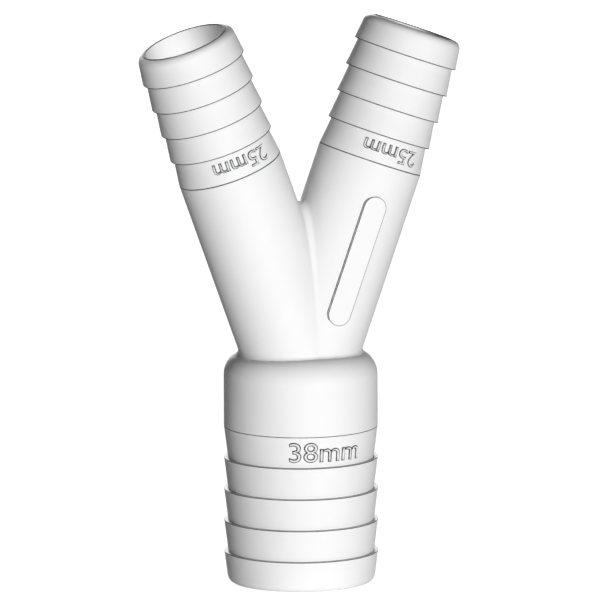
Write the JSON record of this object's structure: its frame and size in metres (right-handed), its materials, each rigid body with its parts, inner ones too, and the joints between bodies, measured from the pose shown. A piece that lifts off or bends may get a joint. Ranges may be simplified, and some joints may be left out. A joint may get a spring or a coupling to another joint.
{
  "type": "tubing y connector",
  "caption": "White moulded hose Y connector: a wide barbed tail under a rounded collar, with slimmer barbed tails leaning apart above it, to split or join hose lines.",
  "frame": {"origin": "middle of the flat rim of the wide tail, on which the part stands", "axes": "+Z along the wide tail's axis, up to the fork; the branches lean towards +X and -X; -Y is the front, with the bare pad on the +X branch"},
  "size_m": [0.0844, 0.0388, 0.1434],
  "materials": {
    "white_moulding": "satin, as moulded"
  },
  "bodies": {
    "root": {"y_connector_body": "white_moulding"}
  },
  "joints": []
}
